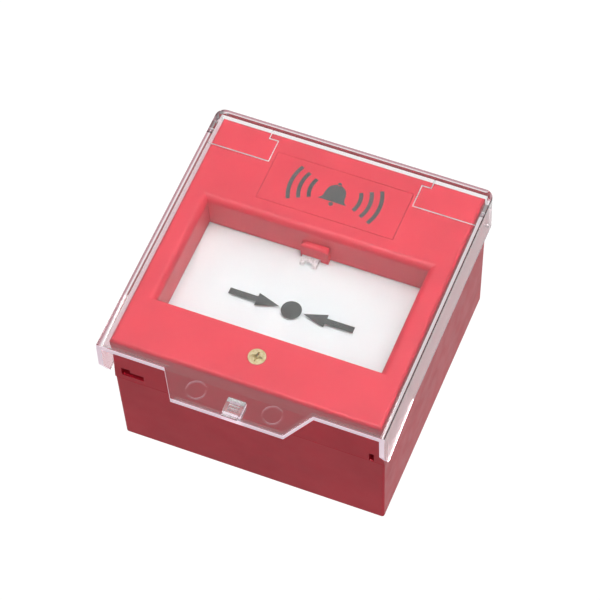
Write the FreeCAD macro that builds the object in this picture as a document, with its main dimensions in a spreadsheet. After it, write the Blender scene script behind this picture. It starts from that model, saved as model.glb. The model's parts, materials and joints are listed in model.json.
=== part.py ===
import FreeCAD, Part
import os
import re
import Sketcher

# Resettable manual call point for wall mounting, millimetres.
# Frame: X to the right seen from the front, +Z up, the front looks towards -Y.
# The back face lies in the plane Y = 0, and the origin is its centre.
# "Depth" is the distance behind the bezel's front face, so Y = depth - body_depth.

DRIVING_SIZES = {
    # Housing: a square front, a back box behind the seam, both with moulding draft.
    "face_size": 86.0,
    "body_depth": 54.0,
    "seam_depth": 21.0,
    "draft_angle": 1.0,
    "wall": 2.2,
    "front_wall": 2.5,
    "edge_round": 1.0,
    # The face's lower edge hangs below the underside and slopes back up to it.
    "chin_drop": 1.25,
    "chin_land": 1.6,
    "chin_depth": 9.0,
    "box_corner_round": 0.8,
    "box_back_round": 0.6,
    "seam_round": 0.3,
    # Window recess in the bezel, with a collar that runs back to the plate.
    "window_half": 35.7,
    "window_bottom": -26.2,
    "window_top": 12.9,
    "window_round": 2.4,
    "sill_round": 0.5,
    "collar_wall": 1.8,
    "collar_depth": 12.3,
    # Block under the window's top wall, notched at its rear for the flag.
    "block_left": -4.8,
    "block_right": 4.2,
    "block_front": 6.0,
    "block_bottom": 11.0,
    "block_round": 1.0,
    "notch_left": -4.5,
    "notch_right": 1.7,
    "notch_depth": 11.0,
    # Inset legend panel.
    "panel_half": 22.2,
    "panel_bottom": 18.8,
    "panel_top": 36.6,
    "panel_thickness": 1.15,
    "panel_gap": 0.15,
    # Bezel screw and the boss in line with it.
    "screw_height": -34.2,
    "screw_head_radius": 2.75,
    "screw_radius": 1.5,
    "screw_length": 30.0,
    "boss_radius": 4.0,
    "insert_radius": 2.3,
    "insert_length": 8.0,
    "insert_depth": 23.4,
    # Key slot, pry notch and top hooks of the bezel.
    "slot_left": -41.0,
    "slot_step": -38.2,
    "slot_right": -33.8,
    "slot_front": 15.3,
    "slot_middle": 16.6,
    "slot_back": 18.9,
    "notch_width": 1.5,
    "notch_height": 3.8,
    "notch_side": 38.6,
    "lug_side": 25.0,
    "lug_width": 8.0,
    "lug_reach": 3.0,
    "lug_top": 40.3,
    "lug_thickness": 2.1,
    # Wall fixing slots and cable entry in the back of the box.
    "slot_spacing": 60.0,
    "fixing_radius": 2.2,
    "fixing_length": 9.0,
    "cable_radius": 10.0,
    "cable_height": 14.0,
    # Cover hinge.
    "hinge_depth": 9.0,
    "hinge_height": 40.2,
    "hinge_radius": 0.75,
    "hinge_reach": 39.4,
    "hinge_boss_radius": 3.0,
    "hinge_boss_length": 3.4,
    "running_gap": 0.06,
    # Clear cover: a plate in front of the bezel with side flanges, top flange and finger tab.
    "cover_gap": 0.5,
    "cover_thickness": 2.0,
    "flange_thickness": 1.6,
    "cover_half": 45.4,
    "cover_top": 45.1,
    "cover_bottom": -48.3,
    "cover_corner": 3.0,
    "tab_bottom": -57.4,
    "tab_root_half": 23.5,
    "tab_tip_half": 17.7,
    "top_flange_depth": 4.8,
    "flange_depth": 15.7,
    "flange_toe_depth": 8.2,
    "flange_heel_height": -44.8,
    "flange_flare_depth": 14.3,
    "flange_flare_bottom": -37.0,
    "flange_flare_top": -24.0,
    "flange_waist_depth": 12.3,
    "ear_top": 42.6,
    "bead_inset": 1.25,
    "bead_width": 0.45,
    "bead_height": 0.2,
    "line_side": 23.4,
    "line_jog": 26.4,
    "line_bottom": 32.0,
    "line_middle": 40.1,
    "line_width": 0.35,
    "line_height": 0.25,
    "ring_side": 12.0,
    "ring_height": -51.5,
    "ring_radius": 3.15,
    "ring_width": 0.4,
    "ring_groove": 0.15,
    # Seal clip in the tab.
    "clip_centre": 1.0,
    "clip_half": 2.7,
    "clip_top": -51.3,
    "clip_bottom": -55.9,
    "clip_foot": -57.6,
    "clip_front": -3.3,
    "clip_back": 1.2,
    "clip_gap": 0.1,
    # Operating plate, which tilts on a pin along its lower edge.
    "plate_half": 37.4,
    "plate_top": 16.5,
    "plate_depth": 12.8,
    "plate_thickness": 2.0,
    "plate_axis_height": -29.9,
    "plate_axis_depth": 14.0,
    "barrel_radius": 2.0,
    "barrel_start": 20.0,
    "barrel_end": 30.0,
    "pin_radius": 1.0,
    "pin_start": 22.0,
    "pin_end": 33.6,
    "rib_height": 13.5,
    "rib_reach": 0.3,
    # Latch: the clear flag and the bar that carries it.
    "flag_left": -4.0,
    "flag_right": 1.4,
    "flag_depth": 11.2,
    "flag_thickness": 1.3,
    "flag_bottom": 8.1,
    "flag_top": 22.2,
    "shoulder_height": 17.3,
    "bar_left": -40.6,
    "bar_right": -38.2,
    "bar_depth": 15.5,
    "bar_thickness": 2.2,
    "bar_bottom": -38.0,
    "arm_bottom": 19.4,
    "arm_top": 22.4,
    "arm_depth": 13.8,
    "spring_lug": -12.0,
    # Springs.
    "spring_radius": 3.0,
    "spring_wire": 0.9,
    "spring_side": 22.0,
    "spring_height": -8.0,
    "pull_spring_radius": 1.5,
    "pull_spring_side": -35.6,
    "pull_spring_depth": 18.0,
    "pull_spring_foot": -24.0,
    # Chassis, its screws and posts.
    "chassis_depth": 20.0,
    "chassis_thickness": 2.0,
    "chassis_half": 40.4,
    "chassis_bottom": -37.8,
    "chassis_top": 33.0,
    "post_radius": 3.0,
    "post_side": 30.0,
    "post_high": 28.0,
    "post_low": -35.6,
    "small_screw_radius": 1.1,
    "small_head_radius": 2.2,
    "small_head_height": 1.6,
    # Circuit board on four standoffs.
    "board_depth": 30.5,
    "board_thickness": 1.6,
    "board_half": 20.0,
    "board_high": 28.0,
    "standoff_side": 16.0,
    "standoff_height": 24.0,
    "standoff_radius": 2.4,
    # Microswitch in the chassis window, lever hinged near its lower end.
    "switch_half": 3.2,
    "switch_bottom": -6.0,
    "switch_top": 14.0,
    "switch_depth": 20.3,
    "lever_height": -4.0,
    "lever_depth": 19.3,
    "lever_length": 18.0,
    "lever_thickness": 0.4,
    "lever_tilt": 12.0,
    "lever_pin_radius": 0.5,
    "lever_eye_radius": 0.9,
    "button_height": 1.0,
    "button_radius": 1.1,
    "button_top": 18.6,
    # Terminal block on the back of the board.
    "terminal_pitch": 5.08,
    "terminal_bottom": -27.0,
    "terminal_height": 9.0,
    "terminal_depth": 10.0,
    "terminal_screw_radius": 1.7,
    "resistor_radius": 1.2,
    "resistor_length": 6.6,
    "lead_radius": 0.3,
    "lead_reach": 5.2,
}

FOUR_WAYS = range(4)
BIG = "200"

doc = FreeCAD.newDocument("CallPoint")
sizes = doc.addObject("Spreadsheet::Sheet", "Sizes")
for row, (alias, number) in enumerate(DRIVING_SIZES.items(), start=1):
    sizes.set(f"A{row}", alias.replace("_", " "))
    sizes.set(f"B{row}", str(number))
    sizes.setAlias(f"B{row}", alias)
doc.recompute()

sub_parts = {}


# ---- Formulas: plain words in a formula are aliases of the sheet ----

def expand(formula):
    """Turn the aliases in a formula into references to the sheet."""
    return re.sub(r"[a-z]+(?:_[a-z]+)*", full_name, formula)


def full_name(match):
    word = match.group(0)
    return f"Sizes.{word}" if word in DRIVING_SIZES else word


def number_of(formula):
    """The present value of a formula."""
    return float(sizes.evalExpression(expand(formula)))


def bind(target, **formulas):
    for property_name, formula in formulas.items():
        target.setExpression(property_name, expand(formula))


def place(target, x, depth, z):
    """Bind an object's place to three formulas."""
    target.setExpression("Placement.Base.x", expand(x))
    target.setExpression("Placement.Base.y", expand(f"({depth}) - body_depth"))
    target.setExpression("Placement.Base.z", expand(z))


def sub_part(node, target):
    """Register the object as the sub-part of that name."""
    target.Label = node
    sub_parts[node] = target
    return target


# ---- Part primitives and booleans ----

def slab(name, x, depth, z):
    """Box between pairs of formulas: (left, right), (front, back), (bottom, top)."""
    box = doc.addObject("Part::Box", name)
    bind(
        box,
        Length=f"({x[1]}) - ({x[0]})",
        Width=f"({depth[1]}) - ({depth[0]})",
        Height=f"({z[1]}) - ({z[0]})",
    )
    place(box, x[0], depth[0], z[0])
    return box


def rod(name, along, centre, radius, length):
    """Cylinder that starts at centre (x, depth, z) and runs along +X, +Y or +Z."""
    cylinder = doc.addObject("Part::Cylinder", name)
    bind(cylinder, Radius=radius, Height=length)
    turn_to(cylinder, along)
    place(cylinder, *centre)
    return cylinder


def taper(name, along, centre, radii, length):
    """Cone that starts at centre with the first radius and ends with the second."""
    cone = doc.addObject("Part::Cone", name)
    bind(cone, Radius1=radii[0], Radius2=radii[1], Height=length)
    turn_to(cone, along)
    place(cone, *centre)
    return cone


def turn_to(target, along):
    direction = {"x": (1, 0, 0), "y": (0, 1, 0), "z": (0, 0, 1)}[along]
    up = FreeCAD.Vector(0, 0, 1)
    target.Placement = FreeCAD.Placement(
        FreeCAD.Vector(), FreeCAD.Rotation(up, FreeCAD.Vector(*direction))
    )


def join(name, parts):
    """Fuse of several objects."""
    fuse = doc.addObject("Part::MultiFuse", name)
    fuse.Shapes = parts
    fuse.Refine = True
    return fuse


def carve(name, base, tools):
    """Base with the tools cut away."""
    tool = tools[0] if len(tools) == 1 else join(name + "Tools", tools)
    cut = doc.addObject("Part::Cut", name)
    cut.Base = base
    cut.Tool = tool
    cut.Refine = True
    return cut


def tube(name, along, centre, radii, length):
    """Hollow cylinder: radii is (outer, inner)."""
    outer = rod(name + "Outer", along, centre, radii[0], length)
    inner = rod(name + "Inner", along, centre, radii[1], length)
    return carve(name, outer, [inner])


# ---- PartDesign bodies ----

def new_body(name):
    return doc.addObject("PartDesign::Body", name)


def new_sketch(body, name, plane, offset):
    """Sketch on one of the body's origin planes, moved along its normal by a formula."""
    sketch = body.newObject("Sketcher::SketchObject", name)
    planes = {feature.Role: feature for feature in body.Origin.OriginFeatures}
    sketch.AttachmentSupport = [(planes[plane], "")]
    sketch.MapMode = "FlatFace"
    sketch.setExpression("AttachmentOffset.Base.z", expand(offset))
    return sketch


def front_sketch(body, name, depth):
    """Sketch in X and Z, seen from the front, at a depth behind the front face."""
    return new_sketch(body, name, "XZ_Plane", f"body_depth - ({depth})")


def pin_down(sketch, curve, point, u, v):
    """Tie a point of a curve to two formulas, measured from the sketch's origin."""
    for kind, formula in (("DistanceX", u), ("DistanceY", v)):
        rule = Sketcher.Constraint(kind, -1, 1, curve, point, number_of(formula))
        index = sketch.addConstraint(rule)
        sketch.setExpression(f"Constraints[{index}]", expand(formula))


def outline(sketch, corners):
    """Closed polygon whose corners are pairs of formulas."""
    points = [FreeCAD.Vector(number_of(u), number_of(v), 0) for u, v in corners]
    first = sketch.GeometryCount
    count = len(points)
    for index in range(count):
        line = Part.LineSegment(points[index], points[(index + 1) % count])
        sketch.addGeometry(line, False)
    for index in range(count):
        rule = Sketcher.Constraint("Coincident", first + index, 2, first + (index + 1) % count, 1)
        sketch.addConstraint(rule)
    for index, (u, v) in enumerate(corners):
        pin_down(sketch, first + index, 1, u, v)


def rectangle(sketch, u, v):
    """Rectangle between two pairs of formulas."""
    outline(sketch, [(u[0], v[0]), (u[1], v[0]), (u[1], v[1]), (u[0], v[1])])


def circle(sketch, u, v, radius):
    centre = FreeCAD.Vector(number_of(u), number_of(v), 0)
    up = FreeCAD.Vector(0, 0, 1)
    index = sketch.addGeometry(Part.Circle(centre, up, number_of(radius)), False)
    rule = sketch.addConstraint(Sketcher.Constraint("Radius", index, number_of(radius)))
    sketch.setExpression(f"Constraints[{rule}]", expand(radius))
    pin_down(sketch, index, 3, u, v)


def pad(sketch, length, backwards=False, draft="0"):
    """Pad of a sketch; backwards runs against the sketch's normal."""
    feature = sketch.getParentGeoFeatureGroup().newObject("PartDesign::Pad", sketch.Name + "Pad")
    feature.Profile = sketch
    feature.Reversed = backwards
    bind(feature, Length=length, TaperAngle=draft)
    return feature


def pocket(sketch, length, forwards=False, draft="0"):
    """Pocket of a sketch; it cuts against the normal unless forwards is set."""
    body = sketch.getParentGeoFeatureGroup()
    feature = body.newObject("PartDesign::Pocket", sketch.Name + "Pocket")
    feature.Profile = sketch
    feature.Reversed = forwards
    bind(feature, Length=length, TaperAngle=draft)
    return feature


def mirrored(body, name, features):
    """Mirror features across the plane X = 0."""
    mirror = body.newObject("PartDesign::Mirrored", name)
    planes = {feature.Role: feature for feature in body.Origin.OriginFeatures}
    mirror.Originals = features
    mirror.MirrorPlane = (planes["YZ_Plane"], [""])
    body.Tip = mirror
    return mirror


def fillet(body, name, radius, chosen):
    """Fillet of the tip's edges for which chosen(edge) is true."""
    doc.recompute()
    base = body.Tip
    edges = [f"Edge{i}" for i, edge in enumerate(base.Shape.Edges, start=1) if chosen(edge)]
    if not edges:
        raise RuntimeError(f"{name} found no edges")
    feature = body.newObject("PartDesign::Fillet", name)
    feature.Base = (base, edges)
    bind(feature, Radius=radius)
    body.Tip = feature
    return feature


def lies_at_depth(edge, depth, slack=0.02):
    """True where the whole edge lies at one depth."""
    target = number_of(f"({depth}) - body_depth")
    box = edge.BoundBox
    return abs(box.YMin - target) < slack and abs(box.YMax - target) < slack


def runs_along_depth(edge, shortest):
    """True for a straight edge that runs mainly front to back."""
    box = edge.BoundBox
    return box.YLength > shortest and max(box.XLength, box.ZLength) < 0.1 * box.YLength


# ---- Housing ----

SEAM_HALF = "(face_size / 2 + seam_depth * tan(draft_angle))"
FACE_HALF = "face_size / 2"
CHIN = "face_size / 2 + chin_drop"


def make_front_bezel():
    body = new_body("FrontBezel")
    face = front_sketch(body, "BezelFace", "0")
    rectangle(face, (f"-{FACE_HALF}", FACE_HALF), (f"-({CHIN})", FACE_HALF))
    pad(face, "seam_depth", backwards=True, draft="draft_angle")
    trim_chin(body)

    hollow = front_sketch(body, "BezelHollow", "seam_depth")
    inner = f"{SEAM_HALF} - wall"
    rectangle(hollow, (f"-({inner})", inner), (f"-({inner})", inner))
    pocket(hollow, "seam_depth - front_wall", forwards=True, draft="-draft_angle")

    window_side = ("-window_half", "window_half")
    window_rise = ("window_bottom", "window_top")
    collar = front_sketch(body, "Collar", "front_wall / 2")
    rectangle(
        collar,
        ("-window_half - collar_wall", "window_half + collar_wall"),
        ("window_bottom - collar_wall", "window_top + collar_wall"),
    )
    rectangle(collar, window_side, window_rise)
    pad(collar, "collar_depth - front_wall / 2", backwards=True)
    window = front_sketch(body, "Window", "0")
    rectangle(window, window_side, window_rise)
    pocket(window, "front_wall + 1")

    recess = front_sketch(body, "LegendRecess", "0")
    rectangle(
        recess,
        ("-panel_half - panel_gap", "panel_half + panel_gap"),
        ("panel_bottom - panel_gap", "panel_top + panel_gap"),
    )
    pocket(recess, "panel_thickness")

    make_latch_block(body)
    make_bezel_bosses(body)
    make_bezel_side_openings(body)

    fillet(body, "WindowRound", "window_round", is_window_edge)
    fillet(body, "SillRound", "sill_round", is_sill_edge)
    fillet(body, "FaceRound", "edge_round", is_face_edge)
    sub_part("front_bezel", body)


def trim_chin(body):
    """Cuts the underside back up to the plane that it shares with the box."""
    cut = new_sketch(body, "ChinTrim", "YZ_Plane", f"-({SEAM_HALF}) - 1")
    corners = [
        ("chin_land", f"-({CHIN} + chin_land * tan(draft_angle))"),
        ("chin_depth", f"-({FACE_HALF} + chin_depth * tan(draft_angle))"),
        ("seam_depth", f"-({SEAM_HALF})"),
        ("seam_depth + 1", f"-({SEAM_HALF})"),
        ("seam_depth + 1", f"-({SEAM_HALF} + chin_drop + 1)"),
        ("chin_land", f"-({SEAM_HALF} + chin_drop + 1)"),
    ]
    outline(cut, [(f"{depth} - body_depth", z) for depth, z in corners])
    pocket(cut, f"2 * ({SEAM_HALF} + 1)", forwards=True)


def is_window_edge(edge):
    """The window's front edges at the top and the sides."""
    box = edge.BoundBox
    beside = abs(abs(box.XMin) - number_of("window_half")) < 0.02 and box.XLength < 0.02
    above = abs(box.ZMin - number_of("window_top")) < 0.02 and box.ZLength < 0.02
    long_enough = max(box.XLength, box.ZLength) > 30
    return lies_at_depth(edge, "0") and long_enough and (beside or above)


def is_sill_edge(edge):
    box = edge.BoundBox
    below = abs(box.ZMin - number_of("window_bottom")) < 0.02 and box.ZLength < 0.02
    return lies_at_depth(edge, "0") and below and box.XLength > 30


def is_face_edge(edge):
    """The outer rim of the front face."""
    box = edge.BoundBox
    half = number_of(FACE_HALF)
    upright = box.XLength < 0.02 and abs(abs(box.XMin) - half) < 0.02
    level = box.ZLength < 0.02 and min(abs(box.ZMin - half), abs(box.ZMin + number_of(CHIN))) < 0.02
    return lies_at_depth(edge, "0") and (upright or level) and max(box.XLength, box.ZLength) > 30


def make_latch_block(body):
    """Block under the window's top wall, and the notch in which the flag slides."""
    block = front_sketch(body, "LatchBlock", "block_front")
    rectangle(block, ("block_left", "block_right"), ("block_bottom", "window_top + 1"))
    pad(block, "collar_depth - block_front", backwards=True)
    fillet(body, "BlockRound", "block_round", is_block_edge)
    notch = front_sketch(body, "FlagNotch", "collar_depth")
    rectangle(
        notch,
        ("notch_left", "notch_right"),
        ("block_bottom - 1", "window_top + collar_wall + 1"),
    )
    pocket(notch, "collar_depth - notch_depth", forwards=True)


def is_block_edge(edge):
    """The lower edge and the two upright edges of the block's front face."""
    box = edge.BoundBox
    low = abs(box.ZMin - number_of("block_bottom")) < 0.02
    beside = box.XLength < 0.02 and abs(box.XMin) < number_of("block_right - block_left")
    return lies_at_depth(edge, "block_front") and low and (beside or box.ZLength < 0.02)


def make_bezel_bosses(body):
    """Screw boss, chassis posts and the bosses behind the hinge bores."""
    boss = front_sketch(body, "ScrewBoss", "front_wall / 2")
    circle(boss, "0", "screw_height", "boss_radius")
    pad(boss, "seam_depth - front_wall / 2", backwards=True)
    head = front_sketch(body, "ScrewHole", "0")
    circle(head, "0", "screw_height", "screw_radius")
    doc.recompute()
    hole = body.newObject("PartDesign::Hole", "Countersink")
    hole.Profile = head
    doc.recompute()
    hole.ThreadType = "None"
    hole.DepthType = "ThroughAll"
    hole.HoleCutType = "Countersink"
    hole.HoleCutCountersinkAngle = 90
    bind(
        hole,
        Diameter="2 * screw_radius + 0.4",
        HoleCutDiameter="2 * screw_head_radius + 0.5",
    )

    posts = front_sketch(body, "ChassisPosts", "front_wall / 2")
    pilots = front_sketch(body, "PostPilots", "chassis_depth")
    for side in ("-post_side", "post_side"):
        for level in ("post_high", "post_low"):
            circle(posts, side, level, "post_radius")
            circle(pilots, side, level, "small_screw_radius + 0.02")
    pad(posts, "chassis_depth - front_wall / 2", backwards=True)
    pocket(pilots, "9", forwards=True)

    inside = f"({SEAM_HALF} - wall - hinge_boss_length)"
    hinge_point = ("hinge_depth - body_depth", "hinge_height")
    boss = new_sketch(body, "HingeBoss", "YZ_Plane", inside)
    circle(boss, *hinge_point, "hinge_boss_radius - 0.6")
    boss_pad = pad(boss, "hinge_boss_length + 0.5")
    bore = new_sketch(body, "HingeBore", "YZ_Plane", SEAM_HALF)
    circle(bore, *hinge_point, "hinge_radius + running_gap")
    bore_cut = pocket(bore, f"{SEAM_HALF} - {inside} + 0.01")
    mirrored(body, "HingePair", [boss_pad, bore_cut])


def make_bezel_side_openings(body):
    """Stepped key slot and pry notch in the underside, hook lugs along the top."""
    under = f"-({SEAM_HALF}) - 1"
    slot = new_sketch(body, "KeySlot", "XY_Plane", under)
    corners = [
        ("slot_left", "slot_front"),
        ("slot_step", "slot_front"),
        ("slot_step", "slot_middle"),
        ("slot_right", "slot_middle"),
        ("slot_right", "slot_back"),
        ("slot_left", "slot_back"),
    ]
    outline(slot, [(x, f"{depth} - body_depth") for x, depth in corners])
    pocket(slot, "wall + 2.5", forwards=True)
    pry = new_sketch(body, "PryNotch", "XY_Plane", under)
    rectangle(
        pry,
        ("notch_side", "notch_side + notch_width"),
        ("seam_depth - notch_height - body_depth", "seam_depth + 1 - body_depth"),
    )
    pocket(pry, "wall + 2.5", forwards=True)
    lugs = front_sketch(body, "HookLugs", "seam_depth - 4")
    for side in ("-lug_side", "lug_side"):
        width = (f"{side} - lug_width / 2", f"{side} + lug_width / 2")
        rectangle(lugs, width, ("lug_top - lug_thickness", "lug_top + 1.2"))
    pad(lugs, "4", backwards=True)
    hooks = front_sketch(body, "HookTips", "seam_depth - 1")
    for side in ("-lug_side", "lug_side"):
        width = (f"{side} - lug_width / 2", f"{side} + lug_width / 2")
        rectangle(hooks, width, ("lug_top - lug_thickness", "lug_top"))
    pad(hooks, "lug_reach + 1", backwards=True)


def make_back_box():
    body = new_body("BackBox")
    seam = front_sketch(body, "BoxSeam", "seam_depth")
    rectangle(seam, (f"-{SEAM_HALF}", SEAM_HALF), (f"-{SEAM_HALF}", SEAM_HALF))
    pad(seam, "body_depth - seam_depth", backwards=True, draft="-draft_angle")
    fillet(body, "BoxCorners", "box_corner_round", is_box_corner)
    fillet(body, "BoxBackRound", "box_back_round", is_box_back_edge)
    fillet(body, "SeamRound", "seam_round", is_seam_edge)

    hollow = front_sketch(body, "BoxHollow", "seam_depth")
    inner = f"{SEAM_HALF} - wall"
    rectangle(hollow, (f"-({inner})", inner), (f"-({inner})", inner))
    pocket(hollow, "body_depth - seam_depth - wall", draft="-draft_angle")

    boss = front_sketch(body, "InsertBoss", "insert_depth - 0.2")
    circle(boss, "0", "screw_height", "boss_radius + 0.3")
    pad(boss, "body_depth - wall / 2 - insert_depth", backwards=True)
    bore = front_sketch(body, "InsertBore", "insert_depth - 0.2")
    circle(bore, "0", "screw_height", "insert_radius")
    pocket(bore, "insert_length + 1.2")

    catches = front_sketch(body, "HookCatches", "seam_depth + 1")
    for side in ("-lug_side", "lug_side"):
        width = (f"{side} - lug_width / 2", f"{side} + lug_width / 2")
        bottom = "lug_top - lug_thickness - 2.6"
        rectangle(catches, width, (bottom, "lug_top - lug_thickness - 0.3"))
    pad(catches, "2", backwards=True)
    make_catch_webs(body)

    middles = front_sketch(body, "FixingMiddles", "body_depth - wall - 1")
    ends = front_sketch(body, "FixingEnds", "body_depth - wall - 1")
    half = "(fixing_length / 2 - fixing_radius)"
    for side in ("-slot_spacing / 2", "slot_spacing / 2"):
        span = (f"{side} - {half}", f"{side} + {half}")
        rectangle(middles, span, ("-fixing_radius", "fixing_radius"))
        for end in span:
            circle(ends, end, "0", "fixing_radius")
    circle(middles, "0", "cable_height", "cable_radius")
    pocket(middles, "wall + 2")
    pocket(ends, "wall + 2")
    sub_part("back_box", body)


def make_catch_webs(body):
    """Webs that tie the hook catches to the box's top wall, beside the hooks."""
    webs = front_sketch(body, "CatchWebs", "seam_depth + 1")
    for side, way in (("-lug_side", "-"), ("lug_side", "+")):
        near = f"{side} {way} (lug_width / 2)"
        far = f"{side} {way} (lug_width / 2 + 1.6)"
        pair = (far, near) if way == "-" else (near, far)
        rectangle(webs, pair, ("lug_top - lug_thickness - 2.6", f"{SEAM_HALF} - wall + 0.5"))
    pad(webs, "2", backwards=True)


def is_box_corner(edge):
    return runs_along_depth(edge, 20)


def is_box_back_edge(edge):
    return lies_at_depth(edge, "body_depth")


def is_seam_edge(edge):
    return lies_at_depth(edge, "seam_depth")


def make_legend_panel():
    panel = slab(
        "LegendPanel",
        ("-panel_half", "panel_half"),
        ("0", "panel_thickness"),
        ("panel_bottom", "panel_top"),
    )
    sub_part("legend_panel", panel)


def make_bezel_screw():
    """Countersunk screw with a cross recess, flush with the bezel."""
    centre = ("0", "0", "screw_height")
    head = taper("ScrewHead", "y", centre, ("screw_head_radius", "screw_radius"),
                 "screw_head_radius - screw_radius")
    shank = rod("ScrewShank", "y", centre, "screw_radius", "screw_length")
    cross = [
        slab("CrossLong", ("-1.7", "1.7"), ("-0.1", "1.3"),
             ("screw_height - 0.35", "screw_height + 0.35")),
        slab("CrossTall", ("-0.35", "0.35"), ("-0.1", "1.3"),
             ("screw_height - 1.7", "screw_height + 1.7")),
        taper("CrossHeart", "y", ("0", "-0.1", "screw_height"), ("0.95", "0.3"), "1.8"),
    ]
    screw = carve("BezelScrew", join("ScrewBlank", [head, shank]), cross)
    sub_part("bezel_screw", screw)


def make_screw_insert():
    """Brass insert with two collars and a groove between them."""
    centre = ("0", "insert_depth", "screw_height")
    sleeve = rod("InsertSleeve", "y", centre, "insert_radius - 0.4", "insert_length")
    front_collar = rod("InsertFront", "y", centre, "insert_radius", "insert_length * 0.4")
    rear_collar = rod("InsertRear", "y", ("0", "insert_depth + insert_length * 0.6", "screw_height"),
                      "insert_radius", "insert_length * 0.4")
    bore = rod("InsertThread", "y", ("0", "insert_depth - 1", "screw_height"),
               "screw_radius + 0.02", "insert_length + 2")
    blank = join("InsertBlank", [sleeve, front_collar, rear_collar])
    sub_part("screw_insert", carve("ScrewInsert", blank, [bore]))


# ---- Clear cover ----

def make_clear_cover():
    body = new_body("ClearCover")
    front = "-cover_gap - cover_thickness"
    face = front_sketch(body, "CoverFace", front)
    outline(face, [
        ("-cover_half", "cover_bottom"),
        ("-tab_root_half", "cover_bottom"),
        ("-tab_tip_half", "tab_bottom"),
        ("tab_tip_half", "tab_bottom"),
        ("tab_root_half", "cover_bottom"),
        ("cover_half", "cover_bottom"),
        ("cover_half", "cover_top"),
        ("-cover_half", "cover_top"),
    ])
    pad(face, f"flange_depth - ({front})", backwards=True)
    fillet(body, "CoverCorners", "cover_corner", is_cover_top_corner)

    hollow = front_sketch(body, "CoverHollow", "-cover_gap")
    inner = "cover_half - flange_thickness"
    rectangle(hollow, (f"-({inner})", inner), ("tab_bottom - 5", "cover_top - flange_thickness"))
    pocket(hollow, BIG)
    behind_top = front_sketch(body, "TopFlangeEnd", "top_flange_depth")
    rectangle(behind_top, (f"-({inner})", inner), ("cover_top - 5", "cover_top + 5"))
    pocket(behind_top, BIG)

    make_flange_profile(body)
    make_cover_bead(body)
    make_cover_lines(body)

    holes = new_sketch(body, "CoverPinHoles", "YZ_Plane", "cover_half + 1")
    circle(holes, "hinge_depth - body_depth", "hinge_height", "hinge_radius + 0.01")
    hole = pocket(holes, "flange_thickness + 2")
    mirrored(body, "CoverPinPair", [hole])

    seat = front_sketch(body, "ClipSeat", f"{front} - 1")
    seat_half = "clip_half + clip_gap"
    rectangle(seat, (f"clip_centre - ({seat_half})", f"clip_centre + {seat_half}"),
              ("clip_bottom - clip_gap", "clip_top + clip_gap"))
    pocket(seat, "cover_thickness + 2")
    rings = front_sketch(body, "TabRings", "-cover_gap")
    for side in ("-ring_side", "ring_side"):
        circle(rings, side, "ring_height", "ring_radius")
        circle(rings, side, "ring_height", "ring_radius - ring_width")
    pocket(rings, "ring_groove", forwards=True)
    fillet(body, "CoverFaceRound", "0.35", is_cover_face_edge)
    sub_part("clear_cover", body)


def is_cover_top_corner(edge):
    return runs_along_depth(edge, 10) and edge.BoundBox.ZMin > number_of("cover_top - 1")


def is_cover_face_edge(edge):
    """The outer rim of the cover's front face."""
    box = edge.BoundBox
    around_clip = box.XLength < 6 and max(abs(box.XMin), abs(box.XMax)) < 5
    return lies_at_depth(edge, "-cover_gap - cover_thickness") and not around_clip


def make_flange_profile(body):
    """Cut the side flanges to their outline, and everything behind the tab."""
    profile = new_sketch(body, "FlangeProfile", "YZ_Plane", "cover_half + 5")
    corners = [
        ("-cover_gap", "tab_bottom - 5"),
        ("-cover_gap", "cover_bottom"),
        ("flange_toe_depth", "cover_bottom"),
        ("flange_depth", "flange_heel_height"),
        ("flange_flare_depth", "flange_flare_bottom"),
        ("flange_waist_depth", "flange_flare_top"),
        ("flange_waist_depth", "ear_top"),
        ("top_flange_depth", "ear_top"),
        ("top_flange_depth", "cover_top + 5"),
        ("flange_depth + 5", "cover_top + 5"),
        ("flange_depth + 5", "tab_bottom - 5"),
    ]
    outline(profile, [(f"{depth} - body_depth", height) for depth, height in corners])
    pocket(profile, BIG)


def make_cover_bead(body):
    """Low bead on the sheet's rear face, which follows its lower outline at a small inset."""
    bead = front_sketch(body, "CoverBead", "-cover_gap - 0.2")
    half_turn = "atan((cover_bottom - tab_bottom) / (tab_root_half - tab_tip_half)) / 2"

    def path(inset):
        """The outline's right half from the wall to the tab's foot, moved in by inset."""
        lean = f"({inset}) * tan({half_turn})"
        return [
            ("cover_half - flange_thickness + 0.2", f"cover_bottom + {inset}"),
            (f"tab_root_half - {lean}", f"cover_bottom + {inset}"),
            (f"tab_tip_half - {lean}", f"tab_bottom + {inset}"),
        ]

    def on_left(points):
        return [(f"-({x})", z) for x, z in reversed(points)]

    outer = path("bead_inset")
    inner = path("bead_inset + bead_width")
    outline(bead, outer + on_left(outer) + list(reversed(inner + on_left(inner))))
    pad(bead, "bead_height + 0.2", backwards=True)


def make_cover_lines(body):
    """Thin moulded lines that mark off the two top corners of the inner face."""
    lines = front_sketch(body, "CornerLines", "-cover_gap - 0.2")
    end = "cover_half - flange_thickness + 0.2"
    top = "cover_top - flange_thickness + 0.2"
    for sign in ("-", ""):
        corners = [
            (end, "line_bottom"),
            ("line_side", "line_bottom"),
            ("line_side", "line_middle + line_width"),
            ("line_jog", "line_middle + line_width"),
            ("line_jog", top),
            ("line_jog + line_width", top),
            ("line_jog + line_width", "line_middle"),
            ("line_side + line_width", "line_middle"),
            ("line_side + line_width", "line_bottom + line_width"),
            (end, "line_bottom + line_width"),
        ]
        outline(lines, [(f"{sign}({x})", z) for x, z in corners])
    pad(lines, "line_height + 0.2", backwards=True)


def make_hinge_pins():
    pins = []
    for side, start in (("Left", "-cover_half"), ("Right", "hinge_reach")):
        pins.append(
            rod(f"HingePin{side}", "x", (start, "hinge_depth", "hinge_height"),
                "hinge_radius", "cover_half - hinge_reach")
        )
    sub_part("cover_hinge_pins", join("HingePins", pins))


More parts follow.
